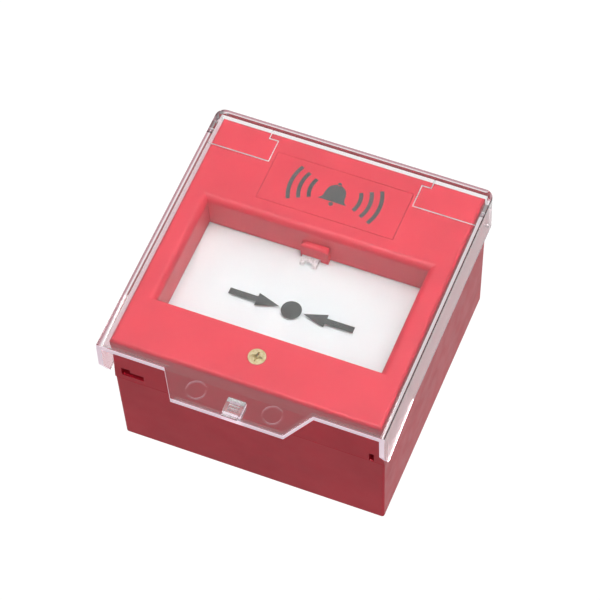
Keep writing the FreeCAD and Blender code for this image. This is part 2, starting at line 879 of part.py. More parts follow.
def make_seal_clip():
    """Clear clip pressed into the tab: block, pocket with two ribs, and a foot."""
    sheet_front = "-cover_gap - cover_thickness"

    def clip_slab(name, half, depth, height):
        return slab(name, (f"clip_centre - {half}", f"clip_centre + {half}"), depth, height)

    block = clip_slab("ClipBlock", "clip_half", ("clip_front", "clip_back"), ("clip_bottom", "clip_top"))
    foot = clip_slab("ClipFoot", "(clip_half - 0.3)", ("clip_front", f"{sheet_front} - 0.02"),
                     ("clip_foot", "clip_bottom + 0.5"))
    hollow = clip_slab("ClipPocket", "1.6", ("clip_front - 1", "clip_front + 1.4"),
                       ("clip_bottom + 0.8", "clip_top - 1.0"))
    shell = carve("ClipShell", join("ClipBlank", [block, foot]), [hollow])
    ribs = [
        clip_slab(f"ClipRib{number}", "1.7", ("clip_front + 0.4", "clip_front + 1.5"),
                  (f"clip_bottom + {1.3 + 1.0 * number}", f"clip_bottom + {1.7 + 1.0 * number}"))
        for number in range(2)
    ]
    sub_part("cover_seal_clip", join("SealClip", [shell] + ribs))


# ---- Operating plate and its latch ----

KNUCKLES = {"Left": ("-barrel_end", "-barrel_start"), "Right": ("barrel_start", "barrel_end")}


def make_press_plate():
    axis = ("plate_axis_depth", "plate_axis_height")
    rear = "plate_depth + plate_thickness"
    sheet = slab("PlateSheet", ("-plate_half", "plate_half"), ("plate_depth", rear),
                 ("plate_axis_height + 2.5", "plate_top"))
    rib = slab("PlateRib", ("-1.6", "1.6"), ("plate_depth + 1", f"{rear} + rib_reach"),
               ("rib_height - 0.9", "rib_height + 0.9"))
    parts = [sheet, rib]
    for number, x in enumerate(("-12", "12")):
        parts.append(
            slab(f"PlateStiffener{number}", (f"{x} - 0.6", f"{x} + 0.6"),
                 ("plate_depth + 1", f"{rear} + 0.8"), ("plate_axis_height + 6", "plate_top - 3"))
        )
    for side, span in KNUCKLES.items():
        length = f"({span[1]}) - ({span[0]})"
        parts.append(rod(f"PlateBarrel{side}", "x", (span[0], *axis), "barrel_radius", length))
        parts.append(
            slab(f"PlateWeb{side}", span, ("plate_depth", rear),
                 ("plate_axis_height", "plate_axis_height + 3"))
        )
    bore = rod("PlateBore", "x", ("-plate_half", *axis), "pin_radius + running_gap",
               "2 * plate_half")
    sub_part("press_plate", carve("PressPlate", join("PlateBlank", parts), [bore]))


def make_plate_pins():
    starts = {"Left": "-pin_end", "Right": "pin_start"}
    pins = [
        rod(f"PlatePin{side}", "x", (start, "plate_axis_depth", "plate_axis_height"),
            "pin_radius", "pin_end - pin_start")
        for side, start in starts.items()
    ]
    sub_part("plate_pins", join("PlatePins", pins))


def make_status_flag():
    """Clear flag: a leg in the bezel's notch, and a shoulder above the plate's top edge."""
    width = ("flag_left", "flag_right")
    leg = slab("FlagLeg", width, ("flag_depth", "flag_depth + flag_thickness"),
               ("flag_bottom", "flag_top"))
    shoulder = slab("FlagShoulder", width, ("flag_depth", "plate_depth + 0.8"),
                    ("shoulder_height", "arm_bottom"))
    head = slab("FlagHead", width, ("flag_depth", "arm_depth"),
                ("arm_bottom - 0.4", "flag_top"))
    mouth = slab("FlagMouth", ("flag_left + 1.3", "flag_right - 1.5"),
                 ("flag_depth - 1", "flag_depth + 3"), ("flag_bottom - 1", "flag_bottom + 1.0"))
    socket = rod("FlagSocket", "y", ("(flag_left + flag_right) / 2", "flag_depth - 1",
                 "(arm_bottom + arm_top) / 2"), "1.02", "6")
    blank = join("FlagBlank", [leg, shoulder, head])
    sub_part("status_flag", carve("StatusFlag", blank, [mouth, socket]))


def make_reset_bar():
    """L-shaped bar: upright beside the plate, arm over it, lug for the pull spring."""
    depth = ("bar_depth", "bar_depth + bar_thickness")
    upright = slab("BarUpright", ("bar_left", "bar_right"), depth, ("bar_bottom", "arm_top"))
    arm = slab("BarArm", ("bar_left", "flag_right"), ("arm_depth", "arm_depth + 2.2"),
               ("arm_bottom", "arm_top"))
    lug = slab("BarLug", ("bar_left", "pull_spring_side + 1.2"),
               ("pull_spring_depth - 1.1", "pull_spring_depth + 1.1"),
               ("spring_lug", "spring_lug + 2"))
    neck = slab("BarNeck", ("bar_left", "bar_right"), ("bar_depth", "pull_spring_depth + 1.1"),
                ("spring_lug", "spring_lug + 2"))
    peg = rod("BarPeg", "y", ("(flag_left + flag_right) / 2", "flag_depth + 0.3",
              "(arm_bottom + arm_top) / 2"), "1.0", "arm_depth - flag_depth")
    sub_part("reset_bar", join("ResetBar", [upright, arm, lug, neck, peg]))


def make_springs():
    """Sleeves that stand in for the two plate springs and the latch's pull spring."""
    front = "plate_depth + plate_thickness + 0.05"
    coils = [
        tube(f"PlateSpring{number}", "y", (side, front, "spring_height"),
             ("spring_radius", "spring_radius - spring_wire"), f"chassis_depth - ({front})")
        for number, side in enumerate(("-spring_side", "spring_side"))
    ]
    sub_part("plate_springs", join("PlateSprings", coils))
    coil = tube("LatchSpring", "z", ("pull_spring_side", "pull_spring_depth", "pull_spring_foot"),
                ("pull_spring_radius", "pull_spring_radius - spring_wire"),
                "spring_lug - pull_spring_foot")
    sub_part("latch_spring", coil)


# ---- Chassis and electrics ----

def make_chassis():
    body = new_body("Chassis")
    plate = front_sketch(body, "ChassisPlate", "chassis_depth")
    rectangle(plate, ("-chassis_half", "chassis_half"), ("chassis_bottom", "chassis_top"))
    pad(plate, "chassis_thickness", backwards=True)

    lugs = front_sketch(body, "PinLugs", "chassis_depth")
    for side, way in (("-barrel_end", "-"), ("barrel_end", "+")):
        ends = [f"{side} {way} 0.4", f"{side} {way} 3.2"]
        if way == "-":
            ends.reverse()
        rectangle(lugs, tuple(ends), ("plate_axis_height - 2.4", "plate_axis_height + 1.7"))
    pad(lugs, "chassis_depth - plate_axis_depth + 2")
    axle = new_sketch(body, "PinBores", "YZ_Plane", "pin_end + 3")
    circle(axle, "plate_axis_depth - body_depth", "plate_axis_height", "pin_radius + 0.01")
    pocket(axle, "2 * pin_end + 6")

    pegs = front_sketch(body, "SpringPegs", "chassis_depth")
    for side in ("-spring_side", "spring_side"):
        circle(pegs, side, "spring_height", "spring_radius - spring_wire - 0.3")
    pad(pegs, "1.6")
    guide = front_sketch(body, "BarGuides", "chassis_depth")
    for height in ("-32", "6"):
        rectangle(guide, ("bar_left + 0.4", "bar_right"), (height, f"{height} + 5"))
    pad(guide, "chassis_depth - bar_depth - bar_thickness - 0.2")
    foot = front_sketch(body, "SpringFoot", "chassis_depth")
    rectangle(foot, ("pull_spring_side - 1.4", "pull_spring_side + 1.4"),
              ("pull_spring_foot - 2", "pull_spring_foot"))
    pad(foot, "3.2")

    standoffs = front_sketch(body, "Standoffs", "chassis_depth + chassis_thickness / 2")
    pilots = front_sketch(body, "StandoffPilots", "board_depth")
    for side in ("-standoff_side", "standoff_side"):
        for height in ("-standoff_height", "standoff_height"):
            circle(standoffs, side, height, "standoff_radius")
            circle(pilots, side, height, "small_screw_radius + 0.02")
    pad(standoffs, "board_depth - chassis_depth - chassis_thickness / 2", backwards=True)
    pocket(pilots, "7", forwards=True)

    openings = front_sketch(body, "ChassisOpenings", "chassis_depth - 1")
    rectangle(openings, ("-switch_half - 0.3", "switch_half + 0.3"),
              ("switch_bottom - 0.3", "switch_top + 3"))
    circle(openings, "0", "screw_height", "boss_radius + 0.6")
    for side in ("-post_side", "post_side"):
        for level in ("post_high", "post_low"):
            circle(openings, side, level, "small_screw_radius + 0.3")
    pocket(openings, "chassis_thickness + 2")
    sub_part("chassis", body)


def pan_screw(name, x, z, under_head, length):
    """Pan-head screw that is driven forwards from behind, with a cross recess."""
    head = rod(name + "Head", "y", (x, under_head, z), "small_head_radius", "small_head_height")
    shank = rod(name + "Shank", "y", (x, f"{under_head} - {length}", z), "small_screw_radius",
                f"{length} + 0.5")
    top = f"{under_head} + small_head_height"
    cross = [
        slab(name + "Flat", (f"{x} - 1.3", f"{x} + 1.3"), (f"{top} - 0.8", f"{top} + 1"),
             (f"{z} - 0.3", f"{z} + 0.3")),
        slab(name + "Tall", (f"{x} - 0.3", f"{x} + 0.3"), (f"{top} - 0.8", f"{top} + 1"),
             (f"{z} - 1.3", f"{z} + 1.3")),
    ]
    return carve(name, join(name + "Blank", [head, shank]), cross)


def make_small_screws():
    chassis_back = "chassis_depth + chassis_thickness"
    board_back = "board_depth + board_thickness"
    chassis_group = []
    board_group = []
    for side in ("-", ""):
        for number, level in enumerate(("post_high", "post_low")):
            name = f"ChassisScrew{number}{'L' if side else 'R'}"
            chassis_group.append(pan_screw(name, f"({side}post_side)", level, chassis_back, "8"))
        for number, level in enumerate(("standoff_height", "(-standoff_height)")):
            name = f"BoardScrew{number}{'L' if side else 'R'}"
            board_group.append(pan_screw(name, f"({side}standoff_side)", level, board_back, "6"))
    sub_part("chassis_screws", join("ChassisScrews", chassis_group))
    sub_part("board_screws", join("BoardScrews", board_group))


SWITCH_PINS = ("switch_bottom + 3", "(switch_bottom + switch_top) / 2", "switch_top - 3")
RESISTOR_LEVELS = ("4", "10")


def terminal_side(way):
    """X of one way of the terminal block, as a formula."""
    return f"({way} - 1.5) * terminal_pitch"


def make_circuit_board():
    board = slab("BoardBlank", ("-board_half", "board_half"),
                 ("board_depth", "board_depth + board_thickness"), ("-board_high", "board_high"))
    drills = []
    for side in ("-standoff_side", "standoff_side"):
        for number, level in enumerate(("-standoff_height", "standoff_height")):
            drills.append((side, level, "small_screw_radius + 0.3"))
    for level in SWITCH_PINS:
        drills.append(("0", level, "0.75"))
    for level in RESISTOR_LEVELS:
        for side in ("9 - lead_reach", "9 + lead_reach"):
            drills.append((side, level, "lead_radius + 0.15"))
    for way in FOUR_WAYS:
        drills.append((terminal_side(way), "terminal_bottom + terminal_height / 2", "0.75"))
    holes = [
        rod(f"BoardDrill{number}", "y", (x, "board_depth - 1", z), radius, "board_thickness + 2")
        for number, (x, z, radius) in enumerate(drills)
    ]
    sub_part("circuit_board", carve("CircuitBoard", board, holes))


def make_microswitch():
    """Switch body with two ears for the lever's pin, lever, button and terminal pins."""
    width = ("-switch_half", "switch_half")
    case = slab("SwitchCase", width, ("switch_depth", "board_depth"),
                ("switch_bottom", "switch_top"))
    ears = [
        slab(f"SwitchEar{number}", span, ("lever_depth - 0.9", "switch_depth + 0.5"),
             ("lever_height - 1.1", "lever_height + 1.1"))
        for number, span in enumerate((("-switch_half", "-switch_half + 1"),
                                       ("switch_half - 1", "switch_half")))
    ]
    tools = [
        rod("SwitchButtonHole", "y", ("0", "switch_depth - 1", "button_height"),
            "button_radius + running_gap", "5"),
        rod("SwitchPinHole", "x", ("-5", "lever_depth", "lever_height"),
            "lever_pin_radius + 0.01", "10"),
    ]
    for number, level in enumerate(("switch_bottom + 5.2", "switch_top - 5.2")):
        tools.append(
            rod(f"SwitchFixing{number}", "x", ("-5", "board_depth - 3", level), "1.1", "10")
        )
    body = carve("SwitchBody", join("SwitchBlank", [case] + ears), tools)
    sub_part("microswitch_body", body)

    pin = rod("LeverPin", "x", ("-switch_half", "lever_depth", "lever_height"),
              "lever_pin_radius", "2 * switch_half")
    sub_part("microswitch_pin", pin)
    make_lever()

    stem = rod("ButtonStem", "y", ("0", "button_top + 0.5", "button_height"), "button_radius", "3.4")
    crown = taper("ButtonCrown", "y", ("0", "button_top", "button_height"),
                  ("button_radius - 0.6", "button_radius"), "0.5")
    sub_part("microswitch_button", join("SwitchButton", [stem, crown]))

    pins = [
        rod(f"SwitchTerminal{number}", "y", ("0", "board_depth", level), "0.6", "3.4")
        for number, level in enumerate(SWITCH_PINS)
    ]
    sub_part("switch_terminals", join("SwitchTerminals", pins))


def make_lever():
    """Thin spring-steel lever that leans forward from its pin towards the plate's rib."""
    half = "switch_half - 1.3"
    strip = doc.addObject("Part::Box", "LeverStrip")
    bind(strip, Length=f"2 * ({half})", Width="lever_thickness", Height="lever_length")
    strip.Placement = FreeCAD.Placement(
        FreeCAD.Vector(), FreeCAD.Rotation(FreeCAD.Vector(1, 0, 0), number_of("lever_tilt"))
    )
    strip.setExpression("Placement.Rotation.Angle", expand("lever_tilt"))
    place(strip, f"-({half})", "lever_depth - lever_thickness / 2", "lever_height")
    eye = rod("LeverEye", "x", (f"-({half})", "lever_depth", "lever_height"),
              "lever_eye_radius", f"2 * ({half})")
    bore = rod("LeverBore", "x", ("-5", "lever_depth", "lever_height"),
               "lever_pin_radius + running_gap", "10")
    sub_part("microswitch_lever", carve("SwitchLever", join("LeverBlank", [strip, eye]), [bore]))


def make_terminal_block():
    """Four-way block: wire mouths face down, clamp screws face the back."""
    board_back = "board_depth + board_thickness"
    case = slab("TerminalCase", ("-2 * terminal_pitch", "2 * terminal_pitch"),
                (board_back, f"{board_back} + terminal_depth"),
                ("terminal_bottom", "terminal_bottom + terminal_height"))
    middle = "terminal_bottom + terminal_height / 2"
    tools = []
    clamps = []
    screws = []
    for way in FOUR_WAYS:
        x = terminal_side(way)
        cell = slab(f"TerminalCell{way}", (f"{x} - 1.85", f"{x} + 1.85"),
                    (f"{board_back} + 1.2", f"{board_back} + 6.4"),
                    ("terminal_bottom - 1", "terminal_bottom + terminal_height - 1.2"))
        well = rod(f"TerminalWell{way}", "y", (x, f"{board_back} + 6", middle),
                   "terminal_screw_radius + 0.15", "5")
        tail_hole = rod(f"TerminalTailHole{way}", "y", (x, f"{board_back} - 1", middle), "0.75", "3")
        tools += [cell, well, tail_hole]
        clamps.append(terminal_clamp(way, x, board_back, middle))
        screws.append(terminal_screw(way, x, board_back, middle))
    sub_part("terminal_block", carve("TerminalBlock", case, tools))
    sub_part("terminal_clamps", join("TerminalClamps", clamps))
    sub_part("terminal_screws", join("TerminalScrews", screws))


def terminal_clamp(way, x, board_back, middle):
    """Brass cage around the wire space, with the tail that passes through the board."""
    cage = slab(f"ClampCage{way}", (f"{x} - 1.75", f"{x} + 1.75"),
                (f"{board_back} + 1.3", f"{board_back} + 6.0"),
                (f"{middle} - 2.4", f"{middle} + 2.4"))
    space = slab(f"ClampSpace{way}", (f"{x} - 1.2", f"{x} + 1.2"),
                 (f"{board_back} + 1.9", f"{board_back} + 5.0"),
                 (f"{middle} - 3", f"{middle} + 3"))
    thread = rod(f"ClampThread{way}", "y", (x, f"{board_back} + 4", middle), "1.12", "5")
    tail = rod(f"ClampTail{way}", "y", (x, "board_depth - 1.2", middle), "0.6",
               "board_thickness + 2.9")
    return join(f"Clamp{way}", [carve(f"ClampFrame{way}", cage, [space, thread]), tail])


def terminal_screw(way, x, board_back, middle):
    head = rod(f"TerminalHead{way}", "y", (x, f"{board_back} + 6.6", middle),
               "terminal_screw_radius", "1.8")
    shank = rod(f"TerminalShank{way}", "y", (x, f"{board_back} + 3.4", middle), "1.1", "4")
    slot = slab(f"TerminalSlot{way}", (f"{x} - 2", f"{x} + 2"),
                (f"{board_back} + 7.6", f"{board_back} + 9"),
                (f"{middle} - 0.3", f"{middle} + 0.3"))
    return carve(f"TerminalScrew{way}", join(f"TerminalScrewBlank{way}", [head, shank]), [slot])


def make_resistors():
    """Two axial resistors above the back of the board, with bent leads."""
    lift = "board_depth + board_thickness + resistor_radius + 0.3"
    pair = []
    for number, level in enumerate(RESISTOR_LEVELS):
        body = rod(f"ResistorBody{number}", "x", ("9 - resistor_length / 2", lift, level),
                   "resistor_radius", "resistor_length")
        wire = rod(f"ResistorWire{number}", "x", ("9 - lead_reach", lift, level),
                   "lead_radius - 0.04", "2 * lead_reach")
        legs = [
            rod(f"ResistorLeg{number}{index}", "y", (side, "board_depth - 1", level),
                "lead_radius", f"{lift} + lead_radius - board_depth + 1")
            for index, side in enumerate(("9 - lead_reach", "9 + lead_reach"))
        ]
        pair.append(join(f"Resistor{number}", [body, wire] + legs))
    sub_part("resistors", join("Resistors", pair))


# ---- Build, check and write ----

def check_document():
    """Stop on failed objects, empty or invalid shapes, and cuts that removed nothing."""
    for item in doc.Objects:
        if "Invalid" in item.State or "Error" in item.State:
            raise RuntimeError(f"{item.Name} failed to build: {item.State}")
    for item in doc.Objects:
        if item.TypeId in ("PartDesign::Pocket", "PartDesign::Hole"):
            before = item.BaseFeature.Shape.Volume
            if before - item.Shape.Volume < 1e-3:
                raise RuntimeError(f"{item.Name} cut nothing")
        if item.TypeId == "Part::Cut":
            if item.Base.Shape.Volume - item.Shape.Volume < 1e-3:
                raise RuntimeError(f"{item.Name} cut nothing")
    for node, item in sub_parts.items():
        if item.Shape.isNull() or not item.Shape.isValid():
            raise RuntimeError(f"{node} has no valid shape")


def write_parts():
    os.makedirs("parts", exist_ok=True)
    for node, item in sub_parts.items():
        item.Shape.exportStep(f"parts/{node}.step")
        print(f"{node}: {len(item.Shape.Solids)} solids, {item.Shape.Volume:.1f} mm3")


make_front_bezel()
make_back_box()
make_legend_panel()
make_bezel_screw()
make_screw_insert()
make_clear_cover()
make_hinge_pins()
make_seal_clip()
make_press_plate()
make_plate_pins()
make_status_flag()
make_reset_bar()
make_springs()
make_chassis()
make_small_screws()
make_circuit_board()
make_microswitch()
make_terminal_block()
make_resistors()
doc.recompute()
check_document()
write_parts()
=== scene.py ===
"""Looks of the manual call point: camera, studio, materials, prints and coil springs.

Everything is in metres, in the CAD's own frame: +X right, +Z up, -Y out of the wall.
Sizes written in millimetres are turned into metres with MM.
"""

import json
import math

import bmesh
import bpy
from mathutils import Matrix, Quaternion, Vector


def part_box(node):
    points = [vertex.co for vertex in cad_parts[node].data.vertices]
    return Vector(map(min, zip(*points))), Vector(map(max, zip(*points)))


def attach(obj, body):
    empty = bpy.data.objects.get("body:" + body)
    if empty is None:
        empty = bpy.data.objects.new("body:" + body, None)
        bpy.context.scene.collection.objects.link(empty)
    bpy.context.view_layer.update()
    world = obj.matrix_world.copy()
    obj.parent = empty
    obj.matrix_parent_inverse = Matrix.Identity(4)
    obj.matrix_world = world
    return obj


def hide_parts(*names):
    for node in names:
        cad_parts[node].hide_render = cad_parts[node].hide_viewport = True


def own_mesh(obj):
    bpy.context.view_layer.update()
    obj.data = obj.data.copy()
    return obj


MM = 0.001

# The camera stands below and to the right of the box, rolled as if the box lay on a table.
CAMERA_AT = Vector((0.2056, -0.7897, -0.4514))
CAMERA_AIM = Vector((0.00415, -0.0540, -0.01082))
CAMERA_ROLL = math.radians(25.62)
CAMERA_LENS_MM = 177.96
SENSOR_MM = 36.0

# The floor lies so far below the box that no shadow falls on it in view.
FLOOR_Z = -1.2
FLOOR_SIDE = 8.0

# The studio's light: a dim base, and patches as (towards, start, full, strength). Start and full
# are cosines of the angle from the patch's middle: where it sets in, and where it is full.
WORLD_BASE = 0.30
WORLD_PATCHES = (
    ((-0.35, 0.80, 0.48), 0.68, 0.955, 0.74),
    ((0.00, -0.93, 0.36), 0.00, 0.90, 0.39),
)

# One large light in front of the box, clear of what the lid mirrors into the camera.
KEY_AT = (0.25, -1.9, -0.05)
KEY_AIM = (0, -0.03, 0)
KEY_SIDE = 0.9
KEY_WATTS = 5.8
KEY_SPREAD = math.radians(50)

# The lid: the height of its lower edge, where the finger tab begins, and its thicknesses.
TAB_ROOT = -48.3 * MM
COVER_SHEET = 2.0 * MM
COVER_WALL = 1.6 * MM

# Prints stand this far out of the face that carries them. Their curves have PRINT_STEPS steps
# from one point to the next.
PRINT_THICKNESS = 0.03 * MM
PRINT_STEPS = 10

X_AXIS = Vector((1, 0, 0))
Z_AXIS = Vector((0, 0, 1))


def add_object(name, data):
    """A new object in the scene."""
    made = bpy.data.objects.new(name, data)
    bpy.context.scene.collection.objects.link(made)
    return made


# ---------------------------------------------------------------- node helpers

class Nodes:
    """Short calls that build up one node tree."""

    def __init__(self, tree):
        self.tree = tree
        self.tree.nodes.clear()

    def node(self, kind, **values):
        made = self.tree.nodes.new(kind)
        for name, value in values.items():
            setattr(made, name, value)
        return made

    def link(self, source, target):
        self.tree.links.new(source, target)

    def coordinate(self, kind):
        return self.node("ShaderNodeTexCoord").outputs[kind]

    def axis(self, vector, name):
        split = self.node("ShaderNodeSeparateXYZ")
        self.link(vector, split.inputs["Vector"])
        return split.outputs[name]

    def vector_maths(self, operation, vector, constant=(0, 0, 0)):
        """One step of arithmetic on a vector socket; returns the node, for either output."""
        made = self.node("ShaderNodeVectorMath", operation=operation)
        made.inputs[1].default_value = constant
        self.link(vector, made.inputs[0])
        return made

    def maths(self, operation, *values):
        """One step of arithmetic on sockets and numbers."""
        made = self.node("ShaderNodeMath", operation=operation)
        for socket, value in zip(made.inputs, values):
            if isinstance(value, (int, float)):
                socket.default_value = value
            else:
                self.link(value, socket)
        return made.outputs["Value"]

    def spread(self, value, low, high, to_low=0.0, to_high=1.0):
        """Maps low...high to to_low...to_high, smoothly and clamped."""
        made = self.node("ShaderNodeMapRange", interpolation_type="SMOOTHSTEP")
        made.inputs["From Min"].default_value = low
        made.inputs["From Max"].default_value = high
        made.inputs["To Min"].default_value = to_low
        made.inputs["To Max"].default_value = to_high
        self.link(value, made.inputs["Value"])
        return made.outputs["Result"]


class Surface(Nodes):
    """A Principled material."""

    def __init__(self, name, **settings):
        self.material = bpy.data.materials.new(name)
        self.material.use_nodes = True
        super().__init__(self.material.node_tree)
        output = self.node("ShaderNodeOutputMaterial")
        self.shader = self.node("ShaderNodeBsdfPrincipled")
        self.link(self.shader.outputs["BSDF"], output.inputs["Surface"])
        self.point = self.coordinate("Object")
        for socket, value in settings.items():
            self.shader.inputs[socket.replace("_", " ")].default_value = value

    def feed(self, source, socket):
        """Drives one socket of the shader."""
        self.link(source, self.shader.inputs[socket])

    def noise(self, grain, detail=2.0, stretch=(1, 1, 1)):
        """Noise whose blobs are about grain metres across, drawn out by stretch."""
        texture = self.node("ShaderNodeTexNoise")
        texture.inputs["Scale"].default_value = 1.0 / grain
        texture.inputs["Detail"].default_value = detail
        drawn_out = self.vector_maths("MULTIPLY", self.point, [1 / s for s in stretch])
        self.link(drawn_out.outputs["Vector"], texture.inputs["Vector"])
        return texture.outputs["Fac"]

    def mix(self, factor, first, second):
        """A colour between first and second; either may be a socket or an RGB triple."""
        made = self.node("ShaderNodeMix", data_type="RGBA")
        self.link(factor, made.inputs["Factor"])
        for socket, value in zip((made.inputs[6], made.inputs[7]), (first, second)):
            if isinstance(value, tuple):
                socket.default_value = (*value, 1.0)
            else:
                self.link(value, socket)
        return made.outputs[2]

    def mottle(self, grain, detail, dark, light):
        """Paints the surface in blobs of two colours."""
        tone = self.spread(self.noise(grain, detail), 0.3, 0.7)
        self.feed(self.mix(tone, dark, light), "Base Color")

    def vary(self, socket, pattern, low, high):
        """Lets one socket of the shader follow a pattern between two values."""
        self.feed(self.spread(pattern, 0.2, 0.8, low, high), socket)

    def bump(self, height, depth):
        """Raises the surface by height times depth metres, on top of earlier bumps."""
        made = self.node("ShaderNodeBump")
        made.inputs["Strength"].default_value = 1.0
        made.inputs["Distance"].default_value = depth
        self.link(height, made.inputs["Height"])
        before = self.shader.inputs["Normal"].links
        if before:
            self.link(before[0].from_socket, made.inputs["Normal"])
        self.feed(made.outputs["Normal"], "Normal")


class MaskedSurface(Surface):
    """A material with masks: sockets that are 1 in one place and 0 elsewhere."""

    mask_softness = 0.1 * MM

    def above(self, value, limit):
        return self.spread(value, limit - self.mask_softness, limit + self.mask_softness)

    def under(self, value, limit):
        return self.spread(value, limit - self.mask_softness, limit + self.mask_softness, 1, 0)

    def facing(self, component):
        """Where this component of the surface's normal is near 1."""
        return self.spread(component, 0.35, 0.7)

    def both(self, first, second):
        return self.maths("MULTIPLY", first, second)

    def either(self, first, second):
        return self.maths("MAXIMUM", first, second)

    def outside(self, mask):
        return self.maths("SUBTRACT", 1.0, mask)


# ---------------------------------------------------------------- studio

def aim(thing, at, target, roll=0.0):
    """Places a camera or light at one point and turns it to another."""
    look = (Vector(target) - Vector(at)).to_track_quat("-Z", "Y")
    thing.location = at
    thing.rotation_mode = "QUATERNION"
    thing.rotation_quaternion = look @ Quaternion(Z_AXIS, roll)


def make_camera():
    """The one camera, at the viewing angle the part is judged from."""
    data = bpy.data.cameras.new("camera")
    data.lens = CAMERA_LENS_MM
    data.sensor_width = SENSOR_MM
    data.clip_start = 0.01
    camera = add_object("camera", data)
    aim(camera, CAMERA_AT, CAMERA_AIM, CAMERA_ROLL)
    bpy.context.scene.camera = camera


def make_world():
    """A pale studio: white behind the box, a wide soft patch in front of it, dim elsewhere."""
    world = bpy.data.worlds.new("studio")
    bpy.context.scene.world = world
    world.use_nodes = True
    sky = Nodes(world.node_tree)
    output = sky.node("ShaderNodeOutputWorld")
    background = sky.node("ShaderNodeBackground")
    background.inputs["Color"].default_value = (1, 1, 1, 1)
    direction = sky.coordinate("Generated")
    strength = WORLD_BASE
    for towards, start, full, height in WORLD_PATCHES:
        nearness = sky.vector_maths("DOT_PRODUCT", direction, Vector(towards).normalized())
        patch = sky.spread(nearness.outputs["Value"], start, full, 0.0, height)
        strength = sky.maths("ADD", patch, strength)
    sky.link(strength, background.inputs["Strength"])
    sky.link(background.outputs["Background"], output.inputs["Surface"])


def make_key_light():
    """The large square light."""
    data = bpy.data.lights.new("key_light", "AREA")
    data.shape = "SQUARE"
    data.size = KEY_SIDE
    data.energy = KEY_WATTS
    data.spread = KEY_SPREAD
    aim(add_object("key_light", data), KEY_AT, KEY_AIM)


def studio_paper():
    """Pale matt paper."""
    paper = Surface("studio_paper", Roughness=0.9)
    paper.mottle(0.4, 2.0, (0.66, 0.66, 0.65), (0.70, 0.70, 0.69))
    paper.bump(paper.noise(1.5 * MM), 0.05 * MM)
    return paper.material


def make_floor():
    """A plain pale floor."""
    mesh = bpy.data.meshes.new("floor")
    half = FLOOR_SIDE / 2
    corners = [(-half, -half), (half, -half), (half, half), (-half, half)]
    mesh.from_pydata([(x, y, FLOOR_Z) for x, y in corners], [], [(0, 1, 2, 3)])
    mesh.materials.append(studio_paper())
    floor = add_object("floor", mesh)


# ---------------------------------------------------------------- materials

def moulded_plastic(name, dark, light, roughness, relief=0.004 * MM, **settings):
    """Satin moulded plastic: a faint flow mottle and a fine spark-eroded grain."""
    plastic = Surface(name, **settings)
    plastic.mottle(14 * MM, 3.0, dark, light)
    plastic.vary("Roughness", plastic.noise(5 * MM, 4.0), roughness - 0.04, roughness + 0.04)
    plastic.bump(plastic.noise(0.35 * MM, 3.0), relief)
    return plastic.material


def red_plastic():
    return moulded_plastic("red_moulding", (0.62, 0.014, 0.038), (0.68, 0.020, 0.046), 0.38,
                           IOR=1.5)


def white_plastic():
    return moulded_plastic("white_moulding", (0.83, 0.90, 0.91), (0.86, 0.925, 0.93), 0.32,
                           relief=0.002 * MM, IOR=1.5)


def black_plastic():
    return moulded_plastic("black_acetal", (0.012, 0.012, 0.013), (0.022, 0.022, 0.024), 0.45)


def grey_plastic():
    return moulded_plastic("grey_moulding", (0.20, 0.21, 0.22), (0.25, 0.26, 0.27), 0.48)


def button_plastic():
    return moulded_plastic("button_moulding", (0.55, 0.05, 0.03), (0.62, 0.07, 0.04), 0.4)


def terminal_plastic():
    return moulded_plastic("terminal_moulding", (0.03, 0.26, 0.10), (0.04, 0.31, 0.13), 0.4)


def ink():
    """Pad-printed dark grey ink, a little uneven where it was laid on."""
    print_ink = Surface("print_ink")
    print_ink.mottle(1.2 * MM, 4.0, (0.050, 0.057, 0.055), (0.068, 0.075, 0.072))
    print_ink.vary("Roughness", print_ink.noise(0.5 * MM), 0.42, 0.58)
    return print_ink.material


def see_through(name, ior, dark, light, roughness, transmission):
    """Clear plastic of a small piece. Roughness and transmission are (least, most)."""
    clear = Surface(name, IOR=ior)
    clear.mottle(1.5 * MM, 3.0, dark, light)
    clear.vary("Roughness", clear.noise(0.8 * MM), *roughness)
    clear.vary("Transmission Weight", clear.noise(2.5 * MM), *transmission)
    clear.bump(clear.noise(0.3 * MM), 0.004 * MM)
    return clear.material


def clear_plastic():
    """Clear polycarbonate, scuffed by handling."""
    return see_through("clear_moulding", 1.49, (0.93, 0.90, 0.91), (0.98, 0.96, 0.97),
                       (0.03, 0.10), (0.86, 0.96))


def milky_plastic():
    """Clear plastic with matt mould faces, as on the small flag above the plate."""
    return see_through("matt_clear_moulding", 1.45, (0.86, 0.87, 0.88), (0.93, 0.94, 0.94),
                       (0.22, 0.34), (0.12, 0.20))


